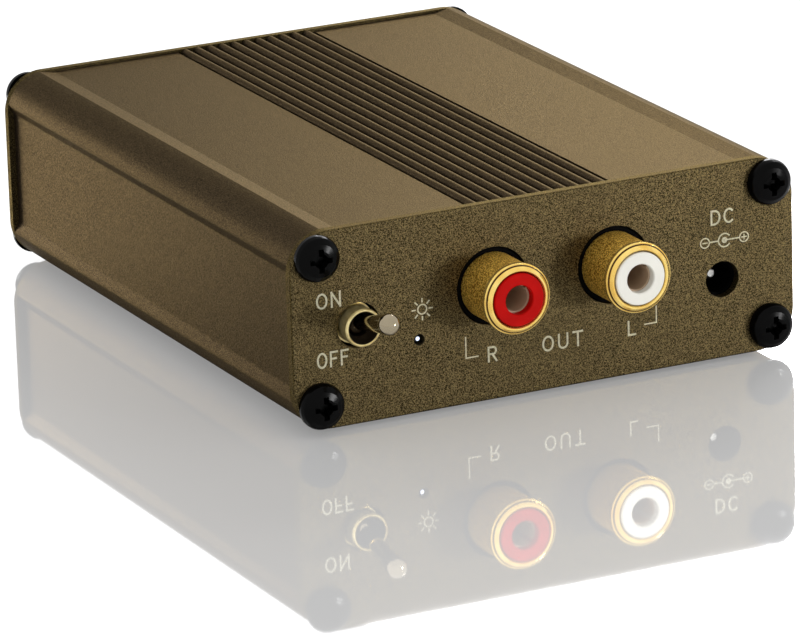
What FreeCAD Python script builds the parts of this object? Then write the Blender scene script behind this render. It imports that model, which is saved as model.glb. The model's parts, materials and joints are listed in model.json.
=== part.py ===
import FreeCAD, Part
import math
import os
import re

import Sketcher

# Phono preamp: extruded case, two end plates, sockets, switch, lamp, inlet and circuit board.
# Frame: X is the width, -Y is the output side, +Y the input side, Z is up and 0 is the table.

# Driving dimensions in millimetres: alias, value, meaning
DIMENSIONS = [
    ("case_width", 69.0, "overall width of plates and rails"),
    ("case_height", 25.0, "overall height of plates and rails"),
    ("case_length", 87.0, "overall length with both plates"),
    ("ground_gap", 0.5, "table to the underside of the plates"),
    ("plate_thickness", 1.2, "end plates"),
    ("plate_edge_round", 0.25, "rounded outer edge of the plates"),
    ("corner_radius", 5.2, "corners of rails and plates"),
    ("side_recess", 0.85, "depth of the flat sides below the rails"),
    ("rail_height", 5.2, "side flat starts this far from the top and bottom"),
    ("side_slope", 1.9, "rise over run where a rail falls to the side flat"),
    ("top_recess", 0.35, "depth of the top and bottom flats below the rails"),
    ("rail_width", 6.9, "top flat starts this far in from the sides"),
    ("top_slope", 7.0, "run over rise where a rail falls to the top flat"),
    ("blend_radius", 0.8, "rounding of the side steps"),
    ("side_wall", 1.6, "side walls behind the flats"),
    ("top_wall", 2.05, "top wall under the flat"),
    ("floor_wall", 1.75, "bottom wall over the flat"),
    ("rib_total", 11, "ribs on the top"),
    ("rib_pitch", 1.768, "rib spacing"),
    ("rib_width", 1.25, "one rib"),
    ("rib_depth", 1.05, "channel floor below the rib crests"),
    ("rib_drop", 0.04, "rib crests below the plate edge"),
    ("screw_inset_x", 3.5, "screw centres from the sides"),
    ("screw_inset_z", 3.2, "screw centres from top and bottom"),
    ("screw_radius", 1.45, "M3 shank"),
    ("screw_play", 0.05, "shank in the rail's hole, radial"),
    ("screw_hole_play", 0.2, "shank in the plate's hole, radial"),
    ("screw_length", 8.0, "under the head"),
    ("head_radius", 2.9, "pan head"),
    ("head_rim", 0.55, "straight side of the head"),
    ("head_height", 1.75, "pan head"),
    ("cross_span", 3.3, "cross recess, tip to tip"),
    ("cross_width", 0.75, "cross recess wing"),
    ("cross_depth", 1.25, "cross recess"),
    ("boss_radius", 2.35, "screw bosses inside the rails"),
    ("board_side_play", 0.25, "circuit board to each side wall"),
    ("board_end_play", 0.9, "circuit board to each plate"),
    ("board_thickness", 1.6, "circuit board"),
    ("board_top", 7.4, "board's upper face above the plates' underside"),
    ("groove_play", 0.1, "board in its groove, each face"),
    ("ledge_thickness", 0.7, "ledges above and below the groove"),
    ("ledge_reach", 1.55, "ledges stand out of the side walls"),
    ("socket_z", 14.5, "socket axes above the plates' underside"),
    ("socket_spacing", 16.6, "red to white"),
    ("socket_shift", 1.0, "middle of the pair from the case's middle"),
    ("shell_radius", 4.2, "gilt shell"),
    ("shell_bore", 3.5, "bore of the shell"),
    ("bead_radius", 4.47, "bead at the shell's mouth"),
    ("bead_start", 5.75, "bead begins, from the plate"),
    ("bead_end", 6.45, "bead ends, from the plate"),
    ("shell_reach", 6.95, "mouth of the shell, from the plate"),
    ("lip_radius", 4.1, "lip in front of the bead"),
    ("insert_radius", 3.34, "front of the coloured insert"),
    ("insert_play", 0.02, "insert in the shell, radial"),
    ("insert_proud", 0.1, "front face of the insert beyond the shell"),
    ("insert_step", 1.6, "length of the insert's slimmer front"),
    ("pin_mouth", 1.84, "hole in the insert's face"),
    ("mouth_bevel", 0.12, "bevel of that hole"),
    ("contact_bore", 1.65, "contact tube's bore, for the plug's pin"),
    ("contact_wall", 0.35, "centre contact tube"),
    ("contact_length", 7.1, "centre contact tube"),
    ("contact_setback", 1.15, "centre contact tube behind the insert's face"),
    ("contact_slit", 0.45, "slit across the contact tube"),
    ("contact_slit_length", 4.8, "slit across the contact tube"),
    ("socket_hole", 4.95, "socket hole in the plate"),
    ("collar_radius", 4.75, "collar of the socket body"),
    ("collar_setback", 0.35, "collar's face behind the plate's face"),
    ("body_gap", 0.2, "bodies behind the plate's inner face"),
    ("socket_body_width", 10.6, "socket body"),
    ("socket_body_depth", 10.4, "socket body"),
    ("socket_body_crown", 5.5, "socket body above its axis"),
    ("socket_seat", 8.2, "shell's rear end behind the plate's face"),
    ("tail_width", 1.0, "solder tails"),
    ("tail_thickness", 0.4, "solder tails"),
    ("tail_below", 1.2, "solder tails below the board"),
    ("tail_play", 0.15, "solder tails in the board's holes"),
    ("toggle_inset", 8.9, "switch axis from the left side"),
    ("toggle_z", 12.5, "switch axis above the plates' underside"),
    ("toggle_hole", 2.87, "switch hole in the plate"),
    ("bushing_radius", 2.4, "switch bushing"),
    ("bushing_reach", 1.65, "bushing in front of the plate"),
    ("bushing_mouth", 2.05, "flared mouth of the bushing"),
    ("bushing_bore", 1.45, "seat of the lever's ball"),
    ("flange_thickness", 0.5, "bushing flange on the switch body"),
    ("lever_pivot", 1.0, "pivot behind the plate's face"),
    ("lever_ball", 1.4, "pivot ball"),
    ("lever_pin", 0.4, "pivot pin through the ball and the bushing"),
    ("rocker_pin", 0.35, "pivot pin of the rocker"),
    ("pivot_play", 0.05, "pivot pins in their holes, radial"),
    ("lever_neck", 0.75, "lever where it leaves the ball"),
    ("lever_end", 1.26, "lever where it meets the tip"),
    ("lever_tip", 1.35, "ball tip"),
    ("lever_length", 9.75, "pivot to the centre of the tip"),
    ("lever_tail", 4.4, "pivot to the tail's end"),
    ("lever_tilt", 14.0, "tilt of the lever at On and Off, degrees"),
    ("toggle_body_width", 5.2, "switch body"),
    ("toggle_body_height", 10.1, "switch body"),
    ("toggle_body_depth", 8.6, "switch body"),
    ("toggle_cavity_width", 3.4, "room for lever tail and rocker"),
    ("toggle_cavity_height", 8.2, "room for lever tail and rocker"),
    ("toggle_cavity_depth", 6.5, "room for lever tail and rocker"),
    ("rocker_pivot", 6.85, "rocker pivot behind the plate's face"),
    ("rocker_length", 6.6, "rocker contact"),
    ("rocker_thickness", 0.4, "rocker contact"),
    ("rocker_width", 2.2, "rocker contact"),
    ("rocker_tilt", 7.0, "tilt of the rocker at On and Off, degrees"),
    ("terminal_gap", 0.25, "rocker to the terminals"),
    ("terminal_spacing", 2.9, "switch terminals"),
    ("lamp_inset", 17.0, "status lamp from the left side"),
    ("lamp_z", 9.3, "status lamp above the plates' underside"),
    ("lamp_hole", 0.73, "lamp hole in the plate"),
    ("lamp_nose", 0.38, "lamp nose in the hole"),
    ("lamp_setback", 0.45, "lamp nose behind the plate's face"),
    ("lamp_radius", 1.5, "lamp body"),
    ("lamp_length", 4.2, "lamp body"),
    ("inlet_inset", 10.1, "DC inlet from the right side"),
    ("inlet_z", 10.2, "DC inlet above the plates' underside"),
    ("inlet_hole", 2.32, "inlet hole in the plate"),
    ("inlet_bore", 2.05, "inlet's bore for the plug"),
    ("inlet_bore_depth", 8.5, "inlet's bore from the body's face"),
    ("inlet_body_width", 6.6, "inlet body"),
    ("inlet_body_crown", 3.0, "inlet body above its axis"),
    ("inlet_body_depth", 10.6, "inlet body"),
    ("inlet_pin_radius", 0.8, "centre pin"),
    ("inlet_pin_base", 1.05, "thicker base of the centre pin"),
    ("inlet_pin_setback", 3.0, "pin's tip behind the plate's face"),
    ("foot_radius", 4.0, "rubber feet"),
    ("foot_inset_x", 11.5, "feet from the sides"),
    ("foot_inset_y", 11.5, "feet from the ends"),
    ("ground_inset", 10.1, "ground terminal from the left side"),
    ("ground_z", 12.5, "ground terminal above the plates' underside"),
    ("stud_radius", 1.95, "M4 stud"),
    ("stud_reach", 9.81, "stud outside the plate"),
    ("stud_inside", 6.5, "stud behind the plate's outer face"),
    ("stud_hole_play", 0.15, "stud in the plate, radial"),
    ("thread_play", 0.05, "stud in the thumb nut and washer, radial"),
    ("stud_flange_radius", 3.6, "fixed flange of the stud"),
    ("stud_flange", 0.9, "fixed flange of the stud"),
    ("washer_radius", 3.8, "sliding washer"),
    ("washer_thickness", 0.7, "sliding washer"),
    ("stack_gap", 0.03, "between flange, washer and thumb nut"),
    ("nut_radius", 4.1, "knurled thumb nut"),
    ("nut_length", 5.2, "knurled thumb nut"),
    ("knurl_total", 30, "grooves of the knurl"),
    ("knurl_depth", 0.25, "grooves of the knurl"),
    ("inner_nut_flat", 3.5, "inner hexagon nut, half across flats"),
    ("inner_nut_length", 2.4, "inner hexagon nut"),
    ("lug_thickness", 0.5, "solder lug"),
    ("lug_radius", 3.4, "solder lug"),
    ("wire_radius", 0.55, "ground wire"),
    ("wire_reach", 3.0, "straight part of the ground wire"),
    ("wire_bend", 2.0, "bend of the ground wire"),
    ("chip_width", 6.35, "amplifier chips"),
    ("chip_length", 9.6, "amplifier chips"),
    ("chip_height", 3.3, "amplifier chips"),
    ("chip_lift", 0.5, "amplifier chips above the board"),
    ("chip_row", 3.81, "rows of chip legs from the middle"),
    ("chip_pitch", 2.54, "spacing of chip legs"),
    ("can_radius", 3.15, "small electrolytic capacitors"),
    ("can_height", 11.0, "small electrolytic capacitors"),
    ("wide_can_radius", 4.0, "large electrolytic capacitors"),
    ("wide_can_height", 12.0, "large electrolytic capacitors"),
    ("can_crimp", 0.25, "groove around each can"),
    ("film_length", 7.2, "film capacitors"),
    ("film_width", 3.0, "film capacitors"),
    ("film_height", 6.5, "film capacitors"),
    ("resistor_radius", 1.1, "resistors"),
    ("resistor_length", 6.2, "resistors"),
    ("resistor_pitch", 10.16, "lead spacing of the resistors"),
    ("resistor_lead", 0.28, "resistor leads"),
    ("regulator_width", 10.0, "voltage regulator's tab"),
    ("regulator_depth", 9.0, "voltage regulator's tab"),
    ("regulator_tab", 0.6, "voltage regulator's tab"),
    ("regulator_height", 2.1, "voltage regulator's body"),
    ("regulator_leg", 3.6, "voltage regulator's legs"),
]

doc = FreeCAD.newDocument("phono_preamp")
sheet = doc.addObject("Spreadsheet::Sheet", "dims")
for row, (alias, value, meaning) in enumerate(DIMENSIONS, start=1):
    sheet.set("A%d" % row, alias)
    sheet.set("B%d" % row, str(value))
    sheet.set("C%d" % row, meaning)
    sheet.setAlias("B%d" % row, alias)
doc.recompute()

workings = doc.addObject("Spreadsheet::Sheet", "workings")

ALIASES = {alias for alias, value, meaning in DIMENSIONS}
WORKED_OUT = {}
NODES = []


def linked(text):
    """The expression with each alias pointed at the sheet."""
    return re.sub(r"[a-z_]+", lambda word: "dims." + word.group(0) if word.group(0) in ALIASES else word.group(0), text)


def number(text):
    """The present value of an expression of aliases."""
    if text not in WORKED_OUT:
        workings.set("A1", "=" + linked(text))
        workings.recompute()
        WORKED_OUT[text] = float(workings.get("A1"))
    return WORKED_OUT[text]


def bind(target, place, text):
    """Bind one property to an expression of aliases."""
    target.setExpression(place, linked(text))


def put(target, spot, rotation=None):
    """Place an object at three expressions, turned by a rotation."""
    target.Placement = FreeCAD.Placement(FreeCAD.Vector(), rotation or FreeCAD.Rotation())
    for letter, text in zip("xyz", spot):
        bind(target, "Placement.Base." + letter, text)


def node(target, label):
    """Name a finished sub-part: its label is its file's name."""
    target.Label = label
    NODES.append(target)
    return target


# Directions for pieces that are turned or drilled along a row axis
UP = FreeCAD.Rotation()
OUT_FRONT = FreeCAD.Rotation(FreeCAD.Vector(1, 0, 0), 90)
OUT_REAR = FreeCAD.Rotation(FreeCAD.Vector(1, 0, 0), -90)
ACROSS = FreeCAD.Rotation(FreeCAD.Vector(0, 1, 0), 90)


def block(name, low, size):
    """A box from its lowest corner and its size, all expressions."""
    solid = doc.addObject("Part::Box", name)
    for place, text in zip(("Length", "Width", "Height"), size):
        bind(solid, place, text)
    put(solid, low)
    return solid


def rod(name, spot, rotation, radius, length):
    """A cylinder that starts at a spot and runs along the turned Z axis."""
    solid = doc.addObject("Part::Cylinder", name)
    bind(solid, "Radius", radius)
    bind(solid, "Height", length)
    put(solid, spot, rotation)
    return solid


def fused(name, solids):
    union = doc.addObject("Part::MultiFuse", name)
    union.Shapes = solids
    return union


def cut(name, base, tools):
    """Base without its tools."""
    result = doc.addObject("Part::Cut", name)
    result.Base = base
    result.Tool = tools[0] if len(tools) == 1 else fused(name + "_tools", tools)
    return result


def group(name, solids):
    """Separate solids that share one node."""
    compound = doc.addObject("Part::Compound", name)
    compound.Links = solids
    return compound


def origin_plane(body, role):
    return next(feature for feature in body.Origin.OriginFeatures if feature.Role == role)


def new_sketch(body, name, role="XZ_Plane"):
    sketch = body.newObject("Sketcher::SketchObject", name)
    sketch.AttachmentSupport = [(origin_plane(body, role), "")]
    sketch.MapMode = "FlatFace"
    return sketch


def fix_point(sketch, edge, end, spot):
    """Hold the end of a sketch edge at two expressions."""
    for kind, axis, text in (("DistanceX", -2, spot[0]), ("DistanceY", -1, spot[1])):
        if text == "0":
            sketch.addConstraint(Sketcher.Constraint("PointOnObject", edge, end, axis))
        else:
            index = sketch.addConstraint(Sketcher.Constraint(kind, -1, 1, edge, end, number(text)))
            bind(sketch, "Constraints[%d]" % index, text)


def add_polygon(sketch, corners):
    """A closed outline through corners given as pairs of expressions."""
    first = sketch.GeometryCount
    spots = [FreeCAD.Vector(number(x), number(y), 0) for x, y in corners]
    total = len(corners)
    for index in range(total):
        sketch.addGeometry(Part.LineSegment(spots[index], spots[(index + 1) % total]), False)
    for index in range(total):
        follower = first + (index + 1) % total
        sketch.addConstraint(Sketcher.Constraint("Coincident", first + index, 2, follower, 1))
    for index, corner in enumerate(corners):
        fix_point(sketch, first + index, 1, corner)


def add_rectangle(sketch, low, high):
    add_polygon(sketch, [low, (high[0], low[1]), high, (low[0], high[1])])


def add_circle(sketch, centre, radius):
    spot = FreeCAD.Vector(number(centre[0]), number(centre[1]), 0)
    index = sketch.addGeometry(Part.Circle(spot, FreeCAD.Vector(0, 0, 1), number(radius)), False)
    fix_point(sketch, index, 3, centre)
    rule = sketch.addConstraint(Sketcher.Constraint("Radius", index, number(radius)))
    bind(sketch, "Constraints[%d]" % rule, radius)


def prism(body, kind, sketch, length, name):
    """A pad or pocket that runs both ways from the sketch's plane."""
    feature = body.newObject("PartDesign::" + kind, name)
    feature.Profile = sketch
    feature.SideType = "Symmetric"
    bind(feature, "Length", length)
    sketch.Visibility = False
    doc.recompute()
    return feature


def edges_where(feature, test):
    """Names of the edges whose middle and shape pass a test."""
    names = []
    for index, edge in enumerate(feature.Shape.Edges, start=1):
        if test(edge):
            names.append("Edge%d" % index)
    return names


def round_edges(body, feature, names, radius, name):
    fillet = body.newObject("PartDesign::Fillet", name)
    fillet.Base = (feature, names)
    bind(fillet, "Radius", radius)
    doc.recompute()
    return fillet


def circles_at(feature, rings):
    """Names of full circles about the turning axis, found by radius and station."""
    wanted = [(number(radius), number(station)) for radius, station in rings]

    def matches(edge):
        if not hasattr(edge.Curve, "Radius") or len(edge.Vertexes) > 1:
            return False
        station = edge.Curve.Center.z
        return any(abs(edge.Curve.Radius - r) + abs(station - s) < 1e-4 for r, s in wanted)

    return edges_where(feature, matches)


def turned(name, profile, spot, rotation, rounds=()):
    """A body turned about its own axis from (radius, station) pairs, with rounded rings."""
    body = doc.addObject("PartDesign::Body", name)
    sketch = new_sketch(body, name + "_profile")
    add_polygon(sketch, profile)
    spin = body.newObject("PartDesign::Revolution", name + "_turn")
    spin.Profile = sketch
    spin.ReferenceAxis = (sketch, ["V_Axis"])
    spin.Angle = 360
    sketch.Visibility = False
    doc.recompute()
    tip = spin
    for index, (rings, radius) in enumerate(rounds):
        tip = round_edges(body, tip, circles_at(tip, rings), radius, "%s_round_%d" % (name, index))
    put(body, spot, rotation)
    return body


# Levels and faces that many pieces share
TOP = "(ground_gap + case_height)"
BOARD_TOP = "(ground_gap + board_top)"
BOARD_UNDERSIDE = "(ground_gap + board_top - board_thickness)"
TAIL_END = "(ground_gap + board_top - board_thickness - tail_below)"
FRONT = "(-case_length / 2)"
REAR = "(case_length / 2)"
HOLLOW_HALF = "(case_width / 2 - side_recess - side_wall)"
BOARD_HALF = "(case_width / 2 - side_recess - side_wall - board_side_play)"
BOARD_REACH = "(case_length / 2 - plate_thickness - board_end_play)"
TOGGLE_X = "(toggle_inset - case_width / 2)"
LAMP_X = "(lamp_inset - case_width / 2)"
INLET_X = "(case_width / 2 - inlet_inset)"
GROUND_X = "(ground_inset - case_width / 2)"
SCREW_SPOTS = [
    (side + "(case_width / 2 - screw_inset_x)", height)
    for side in ("-", "")
    for height in ("ground_gap + screw_inset_z", "ground_gap + case_height - screw_inset_z")
]


def step_outline(along, low, high, side, recess, run_per_depth):
    """Corners of a recess with slanted ends, which opens away from the case."""
    beyond = 2
    slant = "%d * %s" % (beyond, run_per_depth)
    inner = "%s - %s" % (side, recess)
    outer = "%s - %s + %d" % (side, recess, beyond)
    corners = [(inner, low), (inner, high), (outer, "%s + %s" % (high, slant)), (outer, "%s - %s" % (low, slant))]
    return corners if along == "z" else [(b, a) for a, b in corners]


def mirrored(corners):
    return [("-(%s)" % x, y) for x, y in corners]


def build_enclosure():
    body = doc.addObject("PartDesign::Body", "enclosure")
    length = "case_length - 2 * plate_thickness"
    outline = new_sketch(body, "outline")
    add_rectangle(outline, ("-case_width / 2", "ground_gap"), ("case_width / 2", TOP))
    stock = prism(body, "Pad", outline, length, "stock")

    def long_edge(edge):
        low, high = edge.BoundBox.YMin, edge.BoundBox.YMax
        return high - low > number(length) - 0.01

    tip = round_edges(body, stock, edges_where(stock, long_edge), "corner_radius", "corners")

    side_low = "ground_gap + rail_height"
    side_high = "ground_gap + case_height - rail_height"
    right = step_outline("z", side_low, side_high, "case_width / 2", "side_recess", "side_slope")
    flat = "(case_width / 2 - rail_width)"
    top = step_outline("x", "-" + flat, flat, TOP, "top_recess", "top_slope")
    floor = [(x, "2 * ground_gap + case_height - (%s)" % z) for x, z in top]
    for name, corners in (
        ("right_flat", right),
        ("left_flat", mirrored(right)),
        ("top_flat", top),
        ("bottom_flat", floor),
    ):
        sketch = new_sketch(body, name)
        add_polygon(sketch, corners)
        tip = prism(body, "Pocket", sketch, "2 * case_length", name + "_cut")

    def side_step(edge):
        if not long_edge(edge):
            return False
        x, z = abs(edge.Vertexes[0].X), edge.Vertexes[0].Z
        at_flat = abs(x - number("case_width / 2 - side_recess")) < 1e-3
        lowest = number("ground_gap + corner_radius / 2")
        highest = number(TOP + " - corner_radius / 2")
        return lowest < z < highest and (at_flat or x > number("case_width / 2 - side_recess"))

    tip = round_edges(body, tip, edges_where(tip, side_step), "blend_radius", "side_blends")

    channel_half = "(rib_total * rib_pitch / 2 + (rib_pitch - rib_width) / 2)"
    channel_floor = TOP + " - rib_drop - rib_depth"
    channel = new_sketch(body, "rib_channel")
    add_rectangle(channel, ("-" + channel_half, channel_floor), (channel_half, TOP + " + 1"))
    prism(body, "Pocket", channel, "2 * case_length", "rib_channel_cut")

    hollow = new_sketch(body, "hollow")
    ceiling = TOP + " - top_recess - top_wall"
    add_rectangle(hollow, ("-" + HOLLOW_HALF, "ground_gap + top_recess + floor_wall"), (HOLLOW_HALF, ceiling))
    prism(body, "Pocket", hollow, "2 * case_length", "hollow_cut")

    bosses = new_sketch(body, "screw_bosses")
    for spot in SCREW_SPOTS:
        add_circle(bosses, spot, "boss_radius")
    prism(body, "Pad", bosses, length, "screw_bosses_pad")

    ledges = new_sketch(body, "board_ledges")
    groove_low = BOARD_UNDERSIDE + " - groove_play"
    groove_high = BOARD_TOP + " + groove_play"
    inner = HOLLOW_HALF + " - ledge_reach"
    outer = HOLLOW_HALF + " + side_wall / 2"
    for low, high in (
        (groove_low + " - ledge_thickness", groove_low),
        (groove_high, groove_high + " + ledge_thickness"),
    ):
        add_rectangle(ledges, (inner, low), (outer, high))
        add_rectangle(ledges, ("-(%s)" % outer, low), ("-(%s)" % inner, high))
    prism(body, "Pad", ledges, length, "board_ledges_pad")

    holes = new_sketch(body, "screw_holes")
    for spot in SCREW_SPOTS:
        add_circle(holes, spot, "screw_radius + screw_play")
    prism(body, "Pocket", holes, "2 * case_length", "screw_holes_cut")

    rib = new_sketch(body, "rib")
    half = number("rib_width / 2")
    middle = number("-(rib_total - 1) * rib_pitch / 2")
    base = number(channel_floor + " - 0.2")
    shoulder = number(TOP + " - rib_drop - rib_width / 2")
    low_left = FreeCAD.Vector(middle - half, base, 0)
    low_right = FreeCAD.Vector(middle + half, base, 0)
    high_right = FreeCAD.Vector(middle + half, shoulder, 0)
    high_left = FreeCAD.Vector(middle - half, shoulder, 0)
    crest = FreeCAD.Vector(middle, shoulder + half, 0)
    rib.addGeometry(Part.LineSegment(low_left, low_right), False)
    rib.addGeometry(Part.LineSegment(low_right, high_right), False)
    rib.addGeometry(Part.Arc(high_right, crest, high_left), False)
    rib.addGeometry(Part.LineSegment(high_left, low_left), False)
    rib.addConstraint(Sketcher.Constraint("Coincident", 0, 2, 1, 1))
    rib.addConstraint(Sketcher.Constraint("Coincident", 1, 2, 2, 1))
    rib.addConstraint(Sketcher.Constraint("Coincident", 2, 2, 3, 1))
    rib.addConstraint(Sketcher.Constraint("Coincident", 3, 2, 0, 1))
    left = "-(rib_total - 1) * rib_pitch / 2 - rib_width / 2"
    right_side = "-(rib_total - 1) * rib_pitch / 2 + rib_width / 2"
    fix_point(rib, 0, 1, (left, channel_floor + " - 0.2"))
    fix_point(rib, 1, 1, (right_side, channel_floor + " - 0.2"))
    fix_point(rib, 2, 1, (right_side, TOP + " - rib_drop - rib_width / 2"))
    fix_point(rib, 3, 1, (left, TOP + " - rib_drop - rib_width / 2"))
    rule = rib.addConstraint(Sketcher.Constraint("DistanceY", -1, 1, 2, 3, shoulder))
    bind(rib, "Constraints[%d]" % rule, TOP + " - rib_drop - rib_width / 2")
    first_rib = prism(body, "Pad", rib, length, "first_rib")

    ribs = body.newObject("PartDesign::LinearPattern", "ribs")
    ribs.Originals = [first_rib]
    ribs.Direction = (origin_plane(body, "X_Axis"), [""])
    bind(ribs, "Length", "(rib_total - 1) * rib_pitch")
    bind(ribs, "Occurrences", "rib_total")
    body.Tip = ribs
    doc.recompute()
    node(body, "enclosure")


def build_plate(label, edge, holes):
    """An end plate: a rounded rectangle with its screw holes and its own holes."""
    body = doc.addObject("PartDesign::Body", label)
    outline = new_sketch(body, label + "_outline")
    add_rectangle(outline, ("-case_width / 2", "ground_gap"), ("case_width / 2", TOP))
    stock = prism(body, "Pad", outline, "plate_thickness", label + "_stock")

    def corner(edge):
        return edge.BoundBox.YLength > number("plate_thickness") - 0.01

    tip = round_edges(body, stock, edges_where(stock, corner), "corner_radius", label + "_corners")
    outer = number("plate_thickness / 2") * (-1 if edge == FRONT else 1)

    def rim(edge):
        return abs(edge.BoundBox.YMin - outer) + abs(edge.BoundBox.YMax - outer) < 1e-4

    tip = round_edges(body, tip, edges_where(tip, rim), "plate_edge_round", label + "_rim")
    drilled = new_sketch(body, label + "_holes")
    for spot in SCREW_SPOTS:
        add_circle(drilled, spot, "screw_radius + screw_hole_play")
    for x, z, radius in holes:
        add_circle(drilled, (x, z), radius)
    prism(body, "Pocket", drilled, "4 * plate_thickness", label + "_drill")
    middle = "plate_thickness / 2"
    put(body, ("0", edge + (" + " if edge == FRONT else " - ") + middle, "0"))
    node(body, label)


def cross_wing(name, turn):
    """One tapered wing of the cross recess, centred on the screw's axis."""
    wing = doc.addObject("Part::Wedge", name)
    wide, thin = ("cross_span / 2", "cross_width / 2")
    for place, text in (
        ("Xmin", "-" + wide),
        ("Xmax", wide),
        ("Zmin", "-" + thin),
        ("Zmax", thin),
        ("X2min", "-0.45 * cross_span / 2"),
        ("X2max", "0.45 * cross_span / 2"),
        ("Z2min", "-0.6 * cross_width / 2"),
        ("Z2max", "0.6 * cross_width / 2"),
        ("Ymin", "0"),
        ("Ymax", "cross_depth + 0.2"),
    ):
        bind(wing, place, text)
    down = FreeCAD.Rotation(FreeCAD.Vector(1, 0, 0), -90)
    spin = FreeCAD.Rotation(FreeCAD.Vector(0, 0, 1), turn)
    put(wing, ("0", "0", "head_height + 0.2"), spin.multiply(down))
    return wing


def build_screws():
    """Pan head screws with a cross recess, four to a plate, as copies of one screw."""
    profile = [
        ("0", "-screw_length"),
        ("screw_radius - 0.4", "-screw_length"),
        ("screw_radius", "-screw_length + 0.5"),
        ("screw_radius", "0"),
        ("head_radius", "0"),
        ("head_radius", "head_rim"),
        ("0.93 * head_radius", "head_rim + 0.45 * (head_height - head_rim)"),
        ("0.72 * head_radius", "head_rim + 0.82 * (head_height - head_rim)"),
        ("0.42 * head_radius", "head_height"),
        ("0", "head_height"),
    ]
    rings = [
        ("head_radius", "head_rim"),
        ("0.93 * head_radius", "head_rim + 0.45 * (head_height - head_rim)"),
        ("0.72 * head_radius", "head_rim + 0.82 * (head_height - head_rim)"),
    ]
    blank = turned("screw_blank", profile, ("0", "0", "0"), UP, [(rings, "0.35")])
    core = doc.addObject("Part::Cone", "cross_core")
    bind(core, "Radius1", "0.12 * cross_span")
    bind(core, "Radius2", "0.3 * cross_span")
    bind(core, "Height", "cross_depth + 0.2")
    put(core, ("0", "0", "head_height - cross_depth"))
    tools = [cross_wing("cross_wing_a", 0), cross_wing("cross_wing_b", 90), core]
    pattern = cut("screw_pattern", blank, tools)
    doc.recompute()
    for label, edge, rotation in (
        ("front_panel_screws", FRONT, OUT_FRONT),
        ("rear_panel_screws", REAR, OUT_REAR),
    ):
        screws = []
        for index, (x, z) in enumerate(SCREW_SPOTS):
            screw = doc.addObject("App::Link", "%s_%d" % (label, index))
            screw.LinkedObject = pattern
            put(screw, (x, edge, z), rotation)
            screws.append(screw)
        node(group(label, screws), label)


# Sockets: label, x, face of the plate, direction out of the plate, sign of Y pointing inward
SOCKETS = [
    ("output_red", "socket_shift - socket_spacing / 2", FRONT, OUT_FRONT, "+"),
    ("output_white", "socket_shift + socket_spacing / 2", FRONT, OUT_FRONT, "+"),
    ("input_red", "socket_shift * -1 + socket_spacing / 2", REAR, OUT_REAR, "-"),
    ("input_white", "socket_shift * -1 - socket_spacing / 2", REAR, OUT_REAR, "-"),
]
SOCKET_Z = "(ground_gap + socket_z)"
INSERT_FACE = "(shell_reach + insert_proud)"
# Solder tails: x, y, half-width along X, half-width along Y, as expressions, for the board's holes
TAILS = []


def add_tail(name, x, y, high, low=TAIL_END, wide="tail_width", thick="tail_thickness"):
    """A flat solder tail that goes down through the board, which gets a hole for it."""
    TAILS.append((x, y, "(%s) / 2" % wide, "(%s) / 2" % thick))
    corner = ("%s - (%s) / 2" % (x, wide), "%s - (%s) / 2" % (y, thick), low)
    return block(name, corner, (wide, thick, "(%s) - %s" % (high, low)))


def inward(edge, sign, depth):
    """A Y that lies a depth behind the outer face of a plate."""
    return "%s %s (%s)" % (edge, sign, depth)


def span_y(edge, sign, near, far):
    """Lowest Y and width of a slab between two depths behind a plate's outer face."""
    low = inward(edge, sign, near if sign == "+" else far)
    return low, "(%s) - (%s)" % (far, near)


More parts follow.
